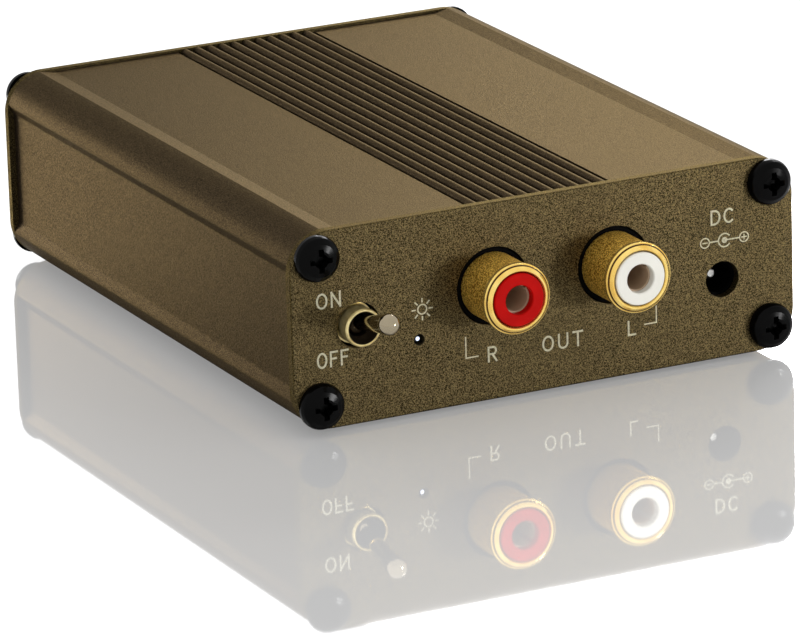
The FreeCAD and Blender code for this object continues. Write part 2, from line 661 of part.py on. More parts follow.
def build_socket(label, x, edge, out, sign):
    axis = (x, edge, SOCKET_Z)
    shell_profile = [
        ("shell_bore", "-socket_seat"),
        ("shell_radius", "-socket_seat"),
        ("shell_radius", "bead_start - 0.15"),
        ("bead_radius", "bead_start"),
        ("bead_radius", "bead_end"),
        ("lip_radius + 0.1", "bead_end + 0.08"),
        ("lip_radius", "shell_reach - 0.25"),
        ("lip_radius - 0.25", "shell_reach"),
        ("shell_bore + 0.12", "shell_reach"),
        ("shell_bore", "shell_reach - 0.15"),
    ]
    shell_rounds = [([("bead_radius", "bead_start"), ("bead_radius", "bead_end")], "0.2")]
    shell = turned(label + "_shell_turned", shell_profile, axis, out, shell_rounds)
    tail_y = inward(edge, sign, "plate_thickness + body_gap + 2.6")
    shell_tail = add_tail(label + "_shell_tail", x, tail_y, SOCKET_Z + " - shell_bore - 0.3")
    node(fused(label + "_shell", [shell, shell_tail]), label + "_shell")

    sleeve = "contact_bore + contact_wall + insert_play"
    front_end = INSERT_FACE + " - contact_setback"
    insert_profile = [
        ("pin_mouth", front_end + " + 0.05"),
        (sleeve, front_end + " + 0.05"),
        (sleeve, "-socket_seat"),
        ("shell_bore - insert_play", "-socket_seat"),
        ("shell_bore - insert_play", INSERT_FACE + " - insert_step"),
        ("insert_radius", INSERT_FACE + " - insert_step"),
        ("insert_radius", INSERT_FACE + " - 0.12"),
        ("insert_radius - 0.12", INSERT_FACE),
        ("pin_mouth + mouth_bevel", INSERT_FACE),
        ("pin_mouth", INSERT_FACE + " - mouth_bevel"),
    ]
    node(turned(label + "_insert", insert_profile, axis, out), label + "_insert")

    contact_profile = [
        ("contact_bore", front_end),
        ("contact_bore + contact_wall", front_end),
        ("contact_bore + contact_wall", front_end + " - contact_length"),
        ("0", front_end + " - contact_length"),
        ("0", front_end + " - contact_length + contact_wall"),
        ("contact_bore", front_end + " - contact_length + contact_wall"),
    ]
    whole_tube = turned(label + "_contact_tube", contact_profile, ("0", "0", "0"), UP)
    slit = block(
        label + "_contact_slit",
        ("-2 * contact_bore", "-contact_slit / 2", front_end + " - contact_slit_length"),
        ("4 * contact_bore", "contact_slit", "2 * contact_slit_length"),
    )
    tube = cut(label + "_contact_slit_tube", whole_tube, [slit])
    diagonal = FreeCAD.Rotation(FreeCAD.Vector(0, 0, 1), 45)
    put(tube, axis, out.multiply(diagonal))
    tube_back = "-(%s - contact_length)" % front_end
    body_back = "plate_thickness + body_gap + socket_body_depth"
    stem_low, stem_width = span_y(edge, sign, tube_back + " - 0.1", body_back + " + 0.1 + tail_thickness")
    stem = block(
        label + "_contact_stem",
        ("%s - tail_width / 2" % x, stem_low, SOCKET_Z + " - tail_width / 2"),
        ("tail_width", stem_width, "tail_width"),
    )
    drop_y = inward(edge, sign, body_back + " + 0.1 + tail_thickness / 2")
    drop = add_tail(label + "_contact_drop", x, drop_y, SOCKET_Z + " + tail_width / 2")
    node(fused(label + "_contact", [tube, stem, drop]), label + "_contact")

    low, width = span_y(edge, sign, "plate_thickness + body_gap", body_back)
    case = block(
        label + "_body_block",
        ("%s - socket_body_width / 2" % x, low, BOARD_TOP),
        ("socket_body_width", width, "socket_z - board_top + socket_body_crown"),
    )
    collar_back = inward(edge, sign, "plate_thickness + body_gap + 0.1")
    collar_reach = "plate_thickness + body_gap + 0.1 - collar_setback"
    collar = rod(label + "_collar", (x, collar_back, SOCKET_Z), out, "collar_radius", collar_reach)
    bore_back = inward(edge, sign, "socket_seat")
    bore = rod(label + "_body_bore", (x, bore_back, SOCKET_Z), out, "shell_radius + insert_play", "2 * socket_seat")
    stem_hole = block(
        label + "_stem_hole",
        ("%s - tail_width / 2 - 0.1" % x, low, SOCKET_Z + " - tail_width / 2 - 0.1"),
        ("tail_width + 0.2", "2 * (%s)" % width if sign == "+" else width, "tail_width + 0.2"),
    )
    tail_slot = block(
        label + "_tail_slot",
        ("%s - tail_width / 2 - 0.1" % x, "%s - tail_thickness / 2 - 0.1" % tail_y, BOARD_TOP + " - 1"),
        ("tail_width + 0.2", "tail_thickness + 0.2", "socket_z - board_top"),
    )
    solid = cut(label + "_body", fused(label + "_body_stock", [case, collar]), [bore, stem_hole, tail_slot])
    node(solid, label + "_body")


TOGGLE_Z = "(ground_gap + toggle_z)"
TOGGLE_FACE = "(plate_thickness + body_gap + flange_thickness)"


def build_toggle():
    axis = (TOGGLE_X, FRONT, TOGGLE_Z)
    front_depth = "plate_thickness + body_gap"
    bushing_profile = [
        ("bushing_bore", "-(%s)" % TOGGLE_FACE),
        ("toggle_body_width / 2", "-(%s)" % TOGGLE_FACE),
        ("toggle_body_width / 2", "-(%s)" % front_depth),
        ("bushing_radius", "-(%s)" % front_depth),
        ("bushing_radius", "bushing_reach - 0.3"),
        ("bushing_radius - 0.12", "bushing_reach - 0.08"),
        ("bushing_mouth + 0.12", "bushing_reach"),
        ("bushing_mouth", "bushing_reach - 0.1"),
        ("bushing_mouth - 0.1", "bushing_reach - 0.5"),
        ("bushing_bore", "0"),
    ]
    sleeve = turned("toggle_bushing_sleeve", bushing_profile, axis, OUT_FRONT)
    pin_hole = rod(
        "toggle_pin_hole",
        (TOGGLE_X + " - 2 * bushing_radius", FRONT + " + lever_pivot", TOGGLE_Z),
        ACROSS,
        "lever_pin + pivot_play",
        "4 * bushing_radius",
    )
    node(cut("toggle_bushing", sleeve, [pin_hole]), "toggle_bushing")

    # The lever at rest leans up from the plate's normal
    pivot = (TOGGLE_X, FRONT + " + lever_pivot", TOGGLE_Z)
    leaning = FreeCAD.Rotation(FreeCAD.Vector(1, 0, 0), 90 - number("lever_tilt"))
    ball = doc.addObject("Part::Sphere", "lever_ball")
    bind(ball, "Radius", "lever_ball")
    tip = doc.addObject("Part::Sphere", "lever_tip")
    bind(tip, "Radius", "lever_tip")
    put(tip, ("0", "0", "lever_length"))
    stick = doc.addObject("Part::Cone", "lever_stick")
    bind(stick, "Radius1", "lever_neck")
    bind(stick, "Radius2", "lever_end")
    bind(stick, "Height", "lever_length - lever_ball / 2")
    put(stick, ("0", "0", "lever_ball / 2"))
    tail = doc.addObject("Part::Cylinder", "lever_tail")
    bind(tail, "Radius", "lever_neck - 0.07")
    bind(tail, "Height", "lever_tail")
    put(tail, ("0", "0", "-lever_tail"))
    tail_end = doc.addObject("Part::Sphere", "lever_tail_end")
    bind(tail_end, "Radius", "lever_neck - 0.07")
    put(tail_end, ("0", "0", "-lever_tail"))
    pin = doc.addObject("Part::Cylinder", "lever_pin")
    bind(pin, "Radius", "lever_pin")
    bind(pin, "Height", "2 * (bushing_radius - 0.1)")
    put(pin, ("0.1 - bushing_radius", "0", "0"), ACROSS)
    lever = fused("toggle_lever", [ball, tip, stick, tail, tail_end, pin])
    put(lever, pivot, leaning)
    node(lever, "toggle_lever")

    back = TOGGLE_FACE + " + toggle_body_depth"
    low, width = span_y(FRONT, "+", TOGGLE_FACE, back)
    case = block(
        "toggle_body_block",
        (TOGGLE_X + " - toggle_body_width / 2", low, BOARD_TOP),
        ("toggle_body_width", width, "toggle_body_height"),
    )
    cavity = block(
        "toggle_cavity",
        (TOGGLE_X + " - toggle_cavity_width / 2", low + " - 1", TOGGLE_Z + " - toggle_cavity_height / 2"),
        ("toggle_cavity_width", "toggle_cavity_depth + 1", "toggle_cavity_height"),
    )
    terminals = []
    slots = []
    for index in range(3):
        z = "%s + %d * terminal_spacing" % (TOGGLE_Z, 1 - index)
        inner_end = "rocker_pivot + rocker_thickness / 2 + terminal_gap"
        if index != 1:
            inner_end += " + rocker_length / 2 * sin(rocker_tilt)"
        drop = back + " + 0.5 + %d * 1.6" % (2 - index)
        blade_low, blade_width = span_y(FRONT, "+", inner_end, drop + " + tail_thickness / 2")
        blade = block(
            "terminal_blade_%d" % index,
            (TOGGLE_X + " - tail_width / 2", blade_low, z + " - tail_thickness / 2"),
            ("tail_width", blade_width, "tail_thickness"),
        )
        drop_y = inward(FRONT, "+", drop)
        leg = add_tail("terminal_leg_%d" % index, TOGGLE_X, drop_y, z + " + tail_thickness / 2")
        terminals.append(fused("terminal_%d" % index, [blade, leg]))
        slot = block(
            "terminal_slot_%d" % index,
            (TOGGLE_X + " - tail_width / 2 - 0.05", low, z + " - tail_thickness / 2 - 0.05"),
            ("tail_width + 0.1", "2 * toggle_body_depth", "tail_thickness + 0.1"),
        )
        slots.append(slot)
    node(group("toggle_terminals", terminals), "toggle_terminals")
    node(cut("toggle_body", case, [cavity] + slots), "toggle_body")

    # The rocker tips the same way as the lever at rest
    plate = block(
        "rocker_plate",
        ("-rocker_width / 2", "-rocker_thickness / 2", "-rocker_length / 2"),
        ("rocker_width", "rocker_thickness", "rocker_length"),
    )
    axle_half = "(toggle_cavity_width / 2 - pivot_play)"
    axle = rod("rocker_axle", ("-" + axle_half, "0", "0"), ACROSS, "rocker_pin", "2 * " + axle_half)
    rocker = fused("toggle_rocker", [plate, axle])
    tilted = FreeCAD.Rotation(FreeCAD.Vector(1, 0, 0), number("rocker_tilt"))
    put(rocker, (TOGGLE_X, FRONT + " + rocker_pivot", TOGGLE_Z), tilted)
    node(rocker, "toggle_rocker")


LAMP_Z = "(ground_gap + lamp_z)"


def build_lamp():
    lens_profile = [
        ("0", "-lamp_setback - 1.3 - lamp_length"),
        ("lamp_radius", "-lamp_setback - 1.3 - lamp_length"),
        ("lamp_radius", "-lamp_setback - 1.6"),
        ("lamp_radius - 0.4", "-lamp_setback - 1.1"),
        ("lamp_nose", "-lamp_setback - 1.0"),
        ("lamp_nose", "-lamp_setback - 0.2"),
        ("0.6 * lamp_nose", "-lamp_setback"),
        ("0", "-lamp_setback"),
    ]
    node(turned("lamp_lens", lens_profile, (LAMP_X, FRONT, LAMP_Z), OUT_FRONT), "lamp_lens")
    leads = []
    for index, side in enumerate((-0.6, 0.6)):
        x = LAMP_X + " + %s" % side
        back = "lamp_setback + 1.3 + lamp_length"
        low, width = span_y(FRONT, "+", back, back + " + 1.6")
        arm = block(
            "lamp_arm_%d" % index,
            (x + " - tail_thickness / 2", low, LAMP_Z + " - tail_thickness / 2"),
            ("tail_thickness", width, "tail_thickness"),
        )
        leg_y = inward(FRONT, "+", back + " + 1.6 - tail_thickness / 2")
        leg = add_tail("lamp_leg_%d" % index, x, leg_y, LAMP_Z, wide="tail_thickness")
        leads.append(fused("lamp_lead_%d" % index, [arm, leg]))
    node(group("lamp_leads", leads), "lamp_leads")


INLET_Z = "(ground_gap + inlet_z)"


def build_inlet():
    near = "plate_thickness + body_gap"
    far = near + " + inlet_body_depth"
    low, width = span_y(FRONT, "+", near, far)
    case = block(
        "dc_inlet_block",
        (INLET_X + " - inlet_body_width / 2", low, BOARD_TOP),
        ("inlet_body_width", width, "inlet_z - board_top + inlet_body_crown"),
    )
    bore_end = inward(FRONT, "+", near + " + inlet_bore_depth")
    bore = rod("dc_inlet_bore", (INLET_X, bore_end, INLET_Z), OUT_FRONT, "inlet_bore", "2 * inlet_bore_depth")
    pin_hole = rod(
        "dc_inlet_pin_hole",
        (INLET_X, inward(FRONT, "+", far + " + 1"), INLET_Z),
        OUT_FRONT,
        "inlet_pin_base + insert_play",
        "inlet_body_depth",
    )
    spring_top = INLET_Z + " + inlet_bore + 0.45"
    spring_low, spring_length = span_y(FRONT, "+", near + " + 1.5", far + " + 0.6")
    slot = block(
        "dc_inlet_spring_slot",
        (INLET_X + " - 0.9", spring_low, INLET_Z + " + inlet_bore - 0.3"),
        ("1.8", "inlet_body_depth", "0.8"),
    )
    node(cut("dc_inlet_body", case, [bore, pin_hole, slot]), "dc_inlet_body")

    leaf = block(
        "dc_inlet_leaf",
        (INLET_X + " - 0.8", spring_low, INLET_Z + " + inlet_bore + 0.1"),
        ("1.6", spring_length, "0.3"),
    )
    bridge_low, bridge_width = span_y(FRONT, "+", far + " + 0.2", far + " + 0.6")
    bridge = block(
        "dc_inlet_spring_bridge",
        (INLET_X + " - 0.8", bridge_low, INLET_Z + " + inlet_bore + 0.1"),
        ("3.5", bridge_width, "0.3"),
    )
    leg_y = inward(FRONT, "+", far + " + 0.4")
    leg = add_tail("dc_inlet_spring_leg", INLET_X + " + 2.2", leg_y, spring_top + " - 0.05")
    node(fused("dc_inlet_spring", [leaf, bridge, leg]), "dc_inlet_spring")

    pin_back = "%s + 1.9" % far
    pin_length = "%s - inlet_pin_setback" % pin_back
    pin_shoulder = "%s - (%s + inlet_bore_depth - 0.2)" % (pin_back, near)
    pin = turned(
        "dc_inlet_pin_turned",
        [
            ("0", "0"),
            ("inlet_pin_base", "0"),
            ("inlet_pin_base", pin_shoulder),
            ("inlet_pin_radius", pin_shoulder),
            ("inlet_pin_radius", "%s - 0.4" % pin_length),
            ("inlet_pin_radius - 0.35", pin_length),
            ("0", pin_length),
        ],
        (INLET_X, inward(FRONT, "+", pin_back), INLET_Z),
        OUT_FRONT,
    )
    pin_leg_y = inward(FRONT, "+", pin_back + " - tail_thickness")
    pin_leg = add_tail("dc_inlet_pin_leg", INLET_X, pin_leg_y, INLET_Z, thick="2 * tail_thickness")
    node(fused("dc_inlet_pin", [pin, pin_leg]), "dc_inlet_pin")


# Feet stick to the recessed underside
def build_feet():
    feet = []
    for side_x in ("-", ""):
        for side_y in ("-", ""):
            profile = [
                ("0", "0"),
                ("foot_radius - 0.3", "0"),
                ("foot_radius", "0.3"),
                ("foot_radius", "ground_gap + top_recess"),
                ("0", "ground_gap + top_recess"),
            ]
            name = "foot_%d" % len(feet)
            feet.append(turned(name, profile, (side_x + "(case_width / 2 - foot_inset_x)", side_y + "(case_length / 2 - foot_inset_y)", "0"), UP))
    node(group("rubber_feet", feet), "rubber_feet")


GROUND_Z = "(ground_gap + ground_z)"
GROUND_AXIS = (GROUND_X, REAR, GROUND_Z)


def hexagon(name, half_flat, hole, start, length):
    """A hexagon nut on the ground stud, from a start station outward."""
    body = doc.addObject("PartDesign::Body", name)
    sketch = new_sketch(body, name + "_profile", "XY_Plane")
    corners = []
    for index in range(6):
        angle = 60 * index
        corners.append(
            (
                "%s / cos(30) * cos(%d)" % (half_flat, angle),
                "%s / cos(30) * sin(%d)" % (half_flat, angle) if angle % 180 else "0",
            )
        )
    add_polygon(sketch, corners)
    add_circle(sketch, ("0", "0"), hole)
    pad = body.newObject("PartDesign::Pad", name + "_pad")
    pad.Profile = sketch
    bind(pad, "Length", length)
    sketch.Visibility = False
    doc.recompute()
    put(body, (GROUND_X, "%s + (%s)" % (REAR, start), GROUND_Z), OUT_REAR)
    return body


def build_ground_terminal():
    stud_profile = [
        ("0", "-stud_inside"),
        ("stud_radius", "-stud_inside"),
        ("stud_radius", "0"),
        ("stud_flange_radius", "0"),
        ("stud_flange_radius", "stud_flange"),
        ("stud_radius", "stud_flange"),
        ("stud_radius", "stud_reach - 0.5"),
        ("stud_radius - 0.5", "stud_reach"),
        ("0", "stud_reach"),
    ]
    node(turned("ground_stud", stud_profile, GROUND_AXIS, OUT_REAR), "ground_stud")

    bore = "stud_radius + thread_play"
    washer_start = "stud_flange + stack_gap"
    washer_end = washer_start + " + washer_thickness"
    washer_profile = [
        (bore, washer_start),
        ("washer_radius", washer_start),
        ("washer_radius", washer_end),
        (bore, washer_end),
    ]
    node(turned("ground_washer", washer_profile, GROUND_AXIS, OUT_REAR), "ground_washer")

    nut_start = washer_end + " + stack_gap"
    nut_end = nut_start + " + nut_length"
    body = doc.addObject("PartDesign::Body", "ground_nut")
    sketch = new_sketch(body, "ground_nut_profile")
    profile = [
        (bore, nut_start),
        ("nut_radius - 0.5", nut_start),
        ("nut_radius - 0.5", nut_start + " + 0.6"),
        ("nut_radius", nut_start + " + 0.9"),
        ("nut_radius", nut_end + " - 0.5"),
        ("nut_radius - 0.5", nut_end),
        (bore, nut_end),
    ]
    add_polygon(sketch, profile)
    spin = body.newObject("PartDesign::Revolution", "ground_nut_turn")
    spin.Profile = sketch
    spin.ReferenceAxis = (sketch, ["V_Axis"])
    spin.Angle = 360
    sketch.Visibility = False
    doc.recompute()
    notch = new_sketch(body, "knurl_notch", "XY_Plane")
    outside = "nut_radius + knurl_depth"
    bottom = "nut_radius - knurl_depth"
    add_polygon(notch, [(bottom, "0"), (outside, "2 * knurl_depth"), (outside, "-2 * knurl_depth")])
    groove = body.newObject("PartDesign::Pocket", "knurl_groove")
    groove.Profile = notch
    groove.SideType = "Symmetric"
    groove.Length = number("4 * stud_reach")
    notch.Visibility = False
    doc.recompute()
    knurl = body.newObject("PartDesign::PolarPattern", "knurl")
    knurl.Originals = [groove]
    knurl.Axis = (origin_plane(body, "Z_Axis"), [""])
    knurl.Angle = 360
    bind(knurl, "Occurrences", "knurl_total")
    body.Tip = knurl
    doc.recompute()
    put(body, GROUND_AXIS, OUT_REAR)
    node(body, "ground_nut")

    inner_start = "-plate_thickness - inner_nut_length"
    inner = hexagon("ground_inner_nut", "inner_nut_flat", "stud_radius + 0.02", inner_start, "inner_nut_length")
    node(inner, "ground_inner_nut")

    lug_y = "%s - plate_thickness - inner_nut_length - lug_thickness" % REAR
    ring = rod("lug_ring", (GROUND_X, lug_y, GROUND_Z), OUT_REAR, "lug_radius", "lug_thickness")
    tab = block(
        "lug_tab",
        (GROUND_X + " - 1.2", lug_y, GROUND_Z + " - lug_radius - 0.6"),
        ("2.4", "lug_thickness", "lug_radius"),
    )
    hole_y = "%s - 1" % lug_y
    eye = rod("lug_eye", (GROUND_X, hole_y, GROUND_Z), OUT_REAR, "stud_radius + 0.02", "lug_thickness + 2")
    node(cut("ground_lug", fused("lug_stock", [ring, tab]), [eye]), "ground_lug")

    # The wire leaves the lug inward and turns down into the board
    radius = number("wire_radius")
    start = FreeCAD.Vector(number(GROUND_X), number(lug_y), number(GROUND_Z + " - lug_radius + 0.3"))
    bend = number("wire_bend")
    reach = number("wire_reach")
    turn_centre = start + FreeCAD.Vector(0, -reach, -bend)
    arc_start = start + FreeCAD.Vector(0, -reach, 0)
    arc_middle = turn_centre + FreeCAD.Vector(0, -bend * math.sqrt(0.5), bend * math.sqrt(0.5))
    arc_end = turn_centre + FreeCAD.Vector(0, -bend, 0)
    end = FreeCAD.Vector(arc_end.x, arc_end.y, number(TAIL_END))
    first = Part.makeCylinder(radius, reach, start, FreeCAD.Vector(0, -1, 0))
    ring_shape = Part.Wire([Part.makeCircle(radius, arc_start, FreeCAD.Vector(0, -1, 0))])
    curve = Part.Wire([Part.Arc(arc_start, arc_middle, arc_end).toShape()])
    elbow = curve.makePipeShell([ring_shape], True, False)
    last = Part.makeCylinder(radius, arc_end.z - end.z, end, FreeCAD.Vector(0, 0, 1))
    wire = doc.addObject("Part::Feature", "ground_wire")
    wire.Shape = first.fuse([elbow, last]).removeSplitter()
    TAILS.append(("%r" % end.x, "%r" % end.y, "wire_radius", "wire_radius"))
    node(wire, "ground_wire")


def across(share):
    """An X at a share of the way from the middle to the board's side."""
    return "(%s * %s)" % (share, BOARD_HALF)


def along(share):
    """A Y at a share of the way from the middle to the board's end."""
    return "(%s * %s)" % (share, BOARD_REACH)


def can(name, x, y, radius, height):
    """A radial electrolytic capacitor with its crimp."""
    waist = radius + " - can_crimp"
    crown = "%s + %s" % (BOARD_TOP, height)
    profile = [
        ("0", BOARD_TOP),
        (radius, BOARD_TOP),
        (radius, BOARD_TOP + " + 4 * can_crimp"),
        (waist, BOARD_TOP + " + 5 * can_crimp"),
        (waist, BOARD_TOP + " + 6 * can_crimp"),
        (radius, BOARD_TOP + " + 7 * can_crimp"),
        (radius, crown + " - can_crimp"),
        (waist, crown),
        ("0", crown),
    ]
    return turned(name, profile, (x, y, "0"), UP)


def chip(label, y):
    """A dual in-line amplifier chip with eight legs in the board."""
    core = block(
        label + "_core",
        ("-chip_width / 2", y + " - chip_length / 2", BOARD_TOP + " + chip_lift"),
        ("chip_width", "chip_length", "chip_height"),
    )
    notch_z = BOARD_TOP + " + chip_lift + 0.9 * chip_height"
    notch = rod(label + "_notch", ("0", y + " - chip_length / 2", notch_z), UP, "chip_width / 7", "chip_height")
    legs = []
    shoulder = BOARD_TOP + " + chip_lift + 0.4 * chip_height"
    for side in ("-", ""):
        for index in range(4):
            leg_y = "%s + %s * chip_pitch" % (y, index - 1.5)
            low_x = "-chip_row - 0.1" if side else "chip_row - 0.8"
            name = "%s_%d" % (label, len(legs))
            knee = block(name + "_knee", (low_x, leg_y + " - 0.6", shoulder), ("0.9", "1.2", "0.3"))
            leg = add_tail(name + "_leg", side + "chip_row", leg_y, shoulder + " + 0.3", wide="0.3", thick="0.6")
            legs.extend([knee, leg])
    node(fused(label, [cut(label + "_body", core, [notch])] + legs), label)


def resistor(name, x, y):
    """An axial resistor lying along Y with both leads bent down into the board."""
    z = BOARD_TOP + " + resistor_radius + 0.05"
    waist = "resistor_radius - 0.15"
    profile = [
        ("0", "0"),
        ("resistor_radius - 0.2", "0"),
        ("resistor_radius", "0.3"),
        ("resistor_radius", "1.3"),
        (waist, "1.6"),
        (waist, "resistor_length - 1.6"),
        ("resistor_radius", "resistor_length - 1.3"),
        ("resistor_radius", "resistor_length - 0.3"),
        ("resistor_radius - 0.2", "resistor_length"),
        ("0", "resistor_length"),
    ]
    core = turned(name + "_core", profile, (x, y + " - resistor_length / 2", z), OUT_REAR)
    near = y + " - resistor_pitch / 2"
    lead = rod(name + "_lead", (x, near, z), OUT_REAR, "resistor_lead", "resistor_pitch")
    legs = []
    for index, end in enumerate((near, y + " + resistor_pitch / 2")):
        leg = add_tail("%s_leg_%d" % (name, index), x, end, z, wide="2 * resistor_lead", thick="2 * resistor_lead")
        legs.append(leg)
    return fused(name, [core, lead] + legs)


def build_electronics():
    chip("input_amplifier_chip", along(0.24))
    chip("output_amplifier_chip", along(-0.19))
    small = ("can_radius", "can_height")
    wide = ("wide_can_radius", "wide_can_height")
    cans = []
    for x, y, size in (
        (-0.75, -0.38, small),
        (-0.75, -0.18, small),
        (-0.75, 0.58, small),
        (0.75, -0.52, wide),
        (0.75, -0.28, wide),
        (0.75, 0.53, small),
    ):
        cans.append(can("can_%d" % len(cans), across(x), along(y), *size))
    node(group("electrolytic_capacitors", cans), "electrolytic_capacitors")
    films = []
    for x in (-0.47, 0.47):
        for y in (-0.43, -0.26, 0.05, 0.22, 0.39):
            low = (across(x) + " - film_length / 2", along(y) + " - film_width / 2", BOARD_TOP)
            size = ("film_length", "film_width", "film_height")
            films.append(block("film_%d" % len(films), low, size))
    node(group("film_capacitors", films), "film_capacitors")
    resistors = []
    for x in (-0.28, -0.19, 0.19, 0.28):
        for y in (-0.4, 0, 0.42):
            resistors.append(resistor("resistor_%d" % len(resistors), across(x), along(y)))
    node(group("resistors", resistors), "resistors")
    middle = across(0.77)
    start = along(-0.02)
    tab_low = (middle + " - regulator_width / 2", start, BOARD_TOP)
    tab = block("regulator_tab", tab_low, ("regulator_width", "regulator_depth", "regulator_tab"))
    slab_low = (middle + " - 0.45 * regulator_width", start + " + regulator_depth / 6", BOARD_TOP)
    slab_size = ("0.9 * regulator_width", "2 * regulator_depth / 3", "regulator_tab + regulator_height")
    slab = block("regulator_slab", slab_low, slab_size)
    legs = []
    for index in range(3):
        low = (
            "%s + (%s) * regulator_width - 0.4" % (middle, 0.26 * (index - 1)),
            "%s + regulator_depth / 6 - regulator_leg" % start,
            BOARD_TOP,
        )
        legs.append(block("regulator_leg_%d" % index, low, ("0.8", "regulator_leg + 0.5", "regulator_tab + 0.2")))
    node(fused("voltage_regulator", [tab, slab] + legs), "voltage_regulator")


def build_board():
    """The board, with a hole for every solder tail."""
    slab = block(
        "board_slab",
        ("-" + BOARD_HALF, "-" + BOARD_REACH, BOARD_UNDERSIDE),
        ("2 * " + BOARD_HALF, "2 * " + BOARD_REACH, "board_thickness"),
    )
    holes = []
    for index, (x, y, half_x, half_y) in enumerate(TAILS):
        low = (
            "%s - %s - tail_play" % (x, half_x),
            "%s - %s - tail_play" % (y, half_y),
            BOARD_UNDERSIDE + " - 1",
        )
        size = ("2 * (%s + tail_play)" % half_x, "2 * (%s + tail_play)" % half_y, "board_thickness + 2")
        holes.append(block("board_hole_%d" % index, low, size))
    node(cut("circuit_board", slab, holes), "circuit_board")


build_enclosure()
front_holes = [
    ("socket_shift - socket_spacing / 2", SOCKET_Z, "socket_hole"),
    ("socket_shift + socket_spacing / 2", SOCKET_Z, "socket_hole"),
    (TOGGLE_X, TOGGLE_Z, "toggle_hole"),
    (LAMP_X, LAMP_Z, "lamp_hole"),
    (INLET_X, INLET_Z, "inlet_hole"),
]
rear_holes = [
    ("socket_shift * -1 + socket_spacing / 2", SOCKET_Z, "socket_hole"),
    ("socket_shift * -1 - socket_spacing / 2", SOCKET_Z, "socket_hole"),
    (GROUND_X, GROUND_Z, "stud_radius + stud_hole_play"),
]
build_plate("front_panel", FRONT, front_holes)
build_plate("rear_panel", REAR, rear_holes)
build_screws()
for socket in SOCKETS:
    build_socket(*socket)
build_toggle()
build_lamp()
build_inlet()
build_feet()
build_ground_terminal()
build_electronics()
build_board()
doc.recompute()

broken = [item.Name for item in doc.Objects if "Invalid" in item.State or "Error" in item.State]
if broken:
    raise RuntimeError("objects not built: " + ", ".join(broken))
for piece in NODES:
    if piece.Shape.isNull() or not piece.Shape.isValid() or not piece.Shape.Solids:
        raise RuntimeError("no sound shape: " + piece.Label)

os.makedirs("parts", exist_ok=True)
for piece in NODES:
    piece.Shape.exportStep("parts/%s.step" % piece.Label)
    print(piece.Label, len(piece.Shape.Solids), "solids", round(piece.Shape.Volume, 2), "mm3")
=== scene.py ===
import math

import bpy
from mathutils import Matrix, Vector
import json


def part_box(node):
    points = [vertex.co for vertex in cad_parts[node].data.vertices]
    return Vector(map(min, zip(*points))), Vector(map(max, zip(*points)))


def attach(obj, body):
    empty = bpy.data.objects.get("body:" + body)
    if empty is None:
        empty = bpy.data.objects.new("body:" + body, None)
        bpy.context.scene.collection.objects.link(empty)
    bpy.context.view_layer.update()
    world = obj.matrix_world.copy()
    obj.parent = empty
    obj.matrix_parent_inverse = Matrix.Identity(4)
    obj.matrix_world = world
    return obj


# Lengths below are in millimetres, and MM brings them to Blender's metres
MM = 0.001
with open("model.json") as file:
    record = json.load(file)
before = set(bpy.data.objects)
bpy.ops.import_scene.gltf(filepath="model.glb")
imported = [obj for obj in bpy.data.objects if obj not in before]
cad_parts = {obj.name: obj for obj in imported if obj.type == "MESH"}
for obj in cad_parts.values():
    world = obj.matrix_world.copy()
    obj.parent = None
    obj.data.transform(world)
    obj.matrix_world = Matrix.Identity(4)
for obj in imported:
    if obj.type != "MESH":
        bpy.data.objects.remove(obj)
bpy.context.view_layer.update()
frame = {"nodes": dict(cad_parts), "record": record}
nodes = frame["nodes"]


def middle(node):
    """The middle of a node's box: x, y and z."""
    low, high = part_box(node)
    return (low + high) / 2 / MM


def linear(red, green, blue):
    """A colour given as 0 to 255 on screen, as the shader's linear values."""
    out = []
    for level in (red, green, blue):
        share = level / 255
        out.append(share / 12.92 if share <= 0.04045 else ((share + 0.055) / 1.055) ** 2.4)
    return (*out, 1.0)


def darker(colour, share):
    """The colour with this share of its light taken away."""
    return tuple((1 - share) * level for level in colour[:3]) + (1.0,)


# Materials


